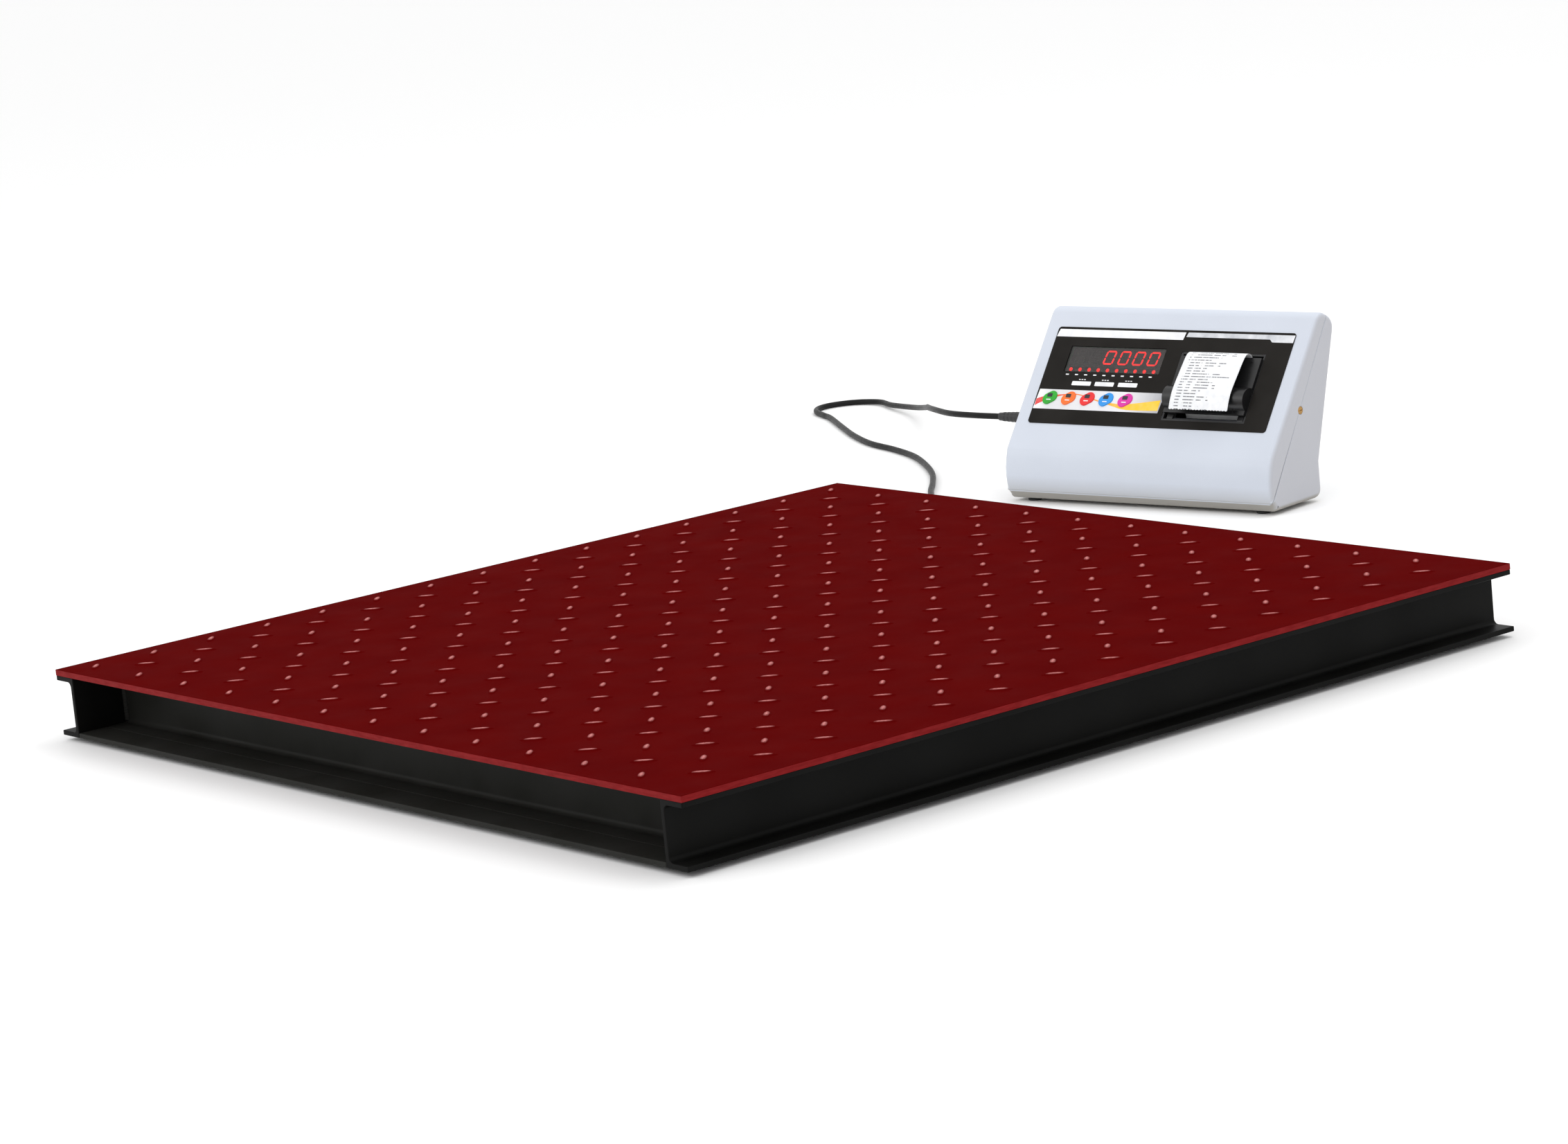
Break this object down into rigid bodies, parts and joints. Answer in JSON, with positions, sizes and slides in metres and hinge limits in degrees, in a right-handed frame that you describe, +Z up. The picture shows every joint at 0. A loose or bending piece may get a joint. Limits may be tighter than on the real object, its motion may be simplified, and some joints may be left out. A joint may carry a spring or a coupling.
{
  "type": "pallet scale",
  "caption": "Low square weighing platform with a chequer plate deck on load cells, cabled to a wedge-shaped desk terminal with a display, keys and a receipt printer.",
  "frame": {"origin": "on the floor, under the middle of the box around platform and terminal, without the free cable and its gland", "axes": "+Z up, +X to the platform's right, +Y from the platform's front edge towards the terminal behind it"},
  "size_m": [1.7473, 1.6413, 0.2049],
  "materials": {
    "deck_red": "semi-gloss",
    "frame_black": "semi-gloss",
    "cell_nickel": "satin",
    "plated_steel": "satin",
    "rubber": "matt",
    "box_grey": "satin",
    "circuit_board": "semi-gloss",
    "black_plastic": "satin",
    "cable_jacket": "satin",
    "case_white": "fine grain",
    "brass_screw": "dull",
    "panel_film": "satin film",
    "window_smoke": "gloss",
    "led_red": "lit",
    "key_green": "satin",
    "key_orange": "satin",
    "key_red": "satin",
    "key_blue": "satin",
    "key_magenta": "satin",
    "head_aluminium": "satin",
    "platen_rubber": "matt",
    "paper": "matt paper",
    "pinion_nylon": "satin",
    "battery_case": "satin"
  },
  "bodies": {
    "scale": {"deck_plate": "deck_red", "side_channel_left": "frame_black", "side_channel_right": "frame_black", "end_channel_front": "frame_black", "end_channel_rear": "frame_black", "tie_bars": "frame_black", "deck_ribs": "frame_black", "cell_blocks": "frame_black", "load_cell_front_left": "cell_nickel", "load_cell_front_right": "cell_nickel", "load_cell_rear_left": "cell_nickel", "load_cell_rear_right": "cell_nickel", "load_cell_bolts": "plated_steel", "foot_locknuts": "plated_steel", "junction_box": "box_grey", "junction_box_lid": "box_grey", "junction_box_screws": "plated_steel", "junction_board": "circuit_board", "junction_glands": "black_plastic", "inner_leads": "cable_jacket", "platform_gland": "black_plastic", "cable": "cable_jacket", "terminal_gland": "black_plastic", "front_cover": "case_white", "rear_tub": "case_white", "case_screws": "brass_screw", "case_feet": "rubber", "front_panel": "panel_film", "display_window": "window_smoke", "display_module": "black_plastic", "display_segments": "led_red", "status_lamps": "led_red", "control_board": "circuit_board", "printer_frame": "black_plastic", "print_head": "head_aluminium", "door_hinge_pin": "plated_steel", "feed_motor": "plated_steel", "battery": "battery_case", "power_supply": "circuit_board", "mains_inlet": "black_plastic", "power_switch": "black_plastic"},
    "foot_pad_front_left": {"foot_pad_front_left": "rubber"},
    "foot_stem_front_left": {"foot_stem_front_left": "plated_steel"},
    "foot_pad_front_right": {"foot_pad_front_right": "rubber"},
    "foot_stem_front_right": {"foot_stem_front_right": "plated_steel"},
    "foot_pad_rear_left": {"foot_pad_rear_left": "rubber"},
    "foot_stem_rear_left": {"foot_stem_rear_left": "plated_steel"},
    "foot_pad_rear_right": {"foot_pad_rear_right": "rubber"},
    "foot_stem_rear_right": {"foot_stem_rear_right": "plated_steel"},
    "key_green": {"key_green": "key_green"},
    "key_orange": {"key_orange": "key_orange"},
    "key_red": {"key_red": "key_red"},
    "key_blue": {"key_blue": "key_blue"},
    "key_magenta": {"key_magenta": "key_magenta"},
    "printer_door": {"printer_door": "black_plastic", "receipt": "paper"},
    "platen_roller": {"platen_roller": "platen_rubber"},
    "paper_roll": {"paper_roll": "paper"},
    "feed_pinion": {"feed_pinion": "pinion_nylon"},
    "power_rocker": {"power_rocker": "black_plastic"}
  },
  "joints": [
    {"name": "foot_front_left_height", "type": "slide", "parent": "scale", "child": "foot_pad_front_left", "axis": [0, 0, 1], "range_m": [-0.00524, 0.00524]},
    {"name": "foot_front_left_turn", "type": "hinge", "parent": "foot_pad_front_left", "child": "foot_stem_front_left", "pos_m": [-0.40978, -0.6346, 0.012], "axis": [0, 0, 1], "range_deg": [-1080, 1080]},
    {"name": "foot_front_right_height", "type": "slide", "parent": "scale", "child": "foot_pad_front_right", "axis": [0, 0, 1], "range_m": [-0.00524, 0.00524]},
    {"name": "foot_front_right_turn", "type": "hinge", "parent": "foot_pad_front_right", "child": "foot_stem_front_right", "pos_m": [0.45022, -0.6346, 0.012], "axis": [0, 0, 1], "range_deg": [-1080, 1080]},
    {"name": "foot_rear_left_height", "type": "slide", "parent": "scale", "child": "foot_pad_rear_left", "axis": [0, 0, 1], "range_m": [-0.00524, 0.00524]},
    {"name": "foot_rear_left_turn", "type": "hinge", "parent": "foot_pad_rear_left", "child": "foot_stem_rear_left", "pos_m": [-0.40978, 0.1754, 0.012], "axis": [0, 0, 1], "range_deg": [-1080, 1080]},
    {"name": "foot_rear_right_height", "type": "slide", "parent": "scale", "child": "foot_pad_rear_right", "axis": [0, 0, 1], "range_m": [-0.00524, 0.00524]},
    {"name": "foot_rear_right_turn", "type": "hinge", "parent": "foot_pad_rear_right", "child": "foot_stem_rear_right", "pos_m": [0.45022, 0.1754, 0.012], "axis": [0, 0, 1], "range_deg": [-1080, 1080]},
    {"name": "key_green_press", "type": "slide", "parent": "scale", "child": "key_green", "axis": [-0.1387, 0.7865, -0.6018], "range_m": [0, 0.0008], "stiffness_N_per_m": 2500},
    {"name": "key_orange_press", "type": "slide", "parent": "scale", "child": "key_orange", "axis": [-0.1387, 0.7865, -0.6018], "range_m": [0, 0.0008], "stiffness_N_per_m": 2500},
    {"name": "key_red_press", "type": "slide", "parent": "scale", "child": "key_red", "axis": [-0.1387, 0.7865, -0.6018], "range_m": [0, 0.0008], "stiffness_N_per_m": 2500},
    {"name": "key_blue_press", "type": "slide", "parent": "scale", "child": "key_blue", "axis": [-0.1387, 0.7865, -0.6018], "range_m": [0, 0.0008], "stiffness_N_per_m": 2500},
    {"name": "key_magenta_press", "type": "slide", "parent": "scale", "child": "key_magenta", "axis": [-0.1387, 0.7865, -0.6018], "range_m": [0, 0.0008], "stiffness_N_per_m": 2500},
    {"name": "door_hinge", "type": "hinge", "parent": "scale", "child": "printer_door", "pos_m": [-0.24535, 0.60951, 0.09653], "axis": [0.9848, 0.1736, 0], "range_deg": [0, 70]},
    {"name": "platen_spin", "type": "hinge", "parent": "printer_door", "child": "platen_roller", "pos_m": [-0.25284, 0.65198, 0.15043], "axis": [0.9848, 0.1736, 0], "continuous": true},
    {"name": "pinion_spin", "type": "hinge", "parent": "scale", "child": "feed_pinion", "pos_m": [-0.20329, 0.67045, 0.14321], "axis": [0.9848, 0.1736, 0], "continuous": true},
    {"name": "roll_spin", "type": "hinge", "parent": "scale", "child": "paper_roll", "pos_m": [-0.2524, 0.64951, 0.10224], "axis": [0.9848, 0.1736, 0], "continuous": true},
    {"name": "rocker_tilt", "type": "hinge", "parent": "scale", "child": "power_rocker", "pos_m": [-0.24813, 0.6656, 0.025], "axis": [0.9848, 0.1736, 0], "range_deg": [-16, 0]}
  ],
  "couplings": [
    {"joint": "foot_front_left_turn", "follows": "foot_front_left_height", "rad_per_m": 3590.4},
    {"joint": "foot_front_right_turn", "follows": "foot_front_right_height", "rad_per_m": 3590.4},
    {"joint": "foot_rear_left_turn", "follows": "foot_rear_left_height", "rad_per_m": 3590.4},
    {"joint": "foot_rear_right_turn", "follows": "foot_rear_right_height", "rad_per_m": 3590.4},
    {"joint": "platen_spin", "follows": "roll_spin", "ratio": -4},
    {"joint": "pinion_spin", "follows": "roll_spin", "ratio": 8}
  ]
}
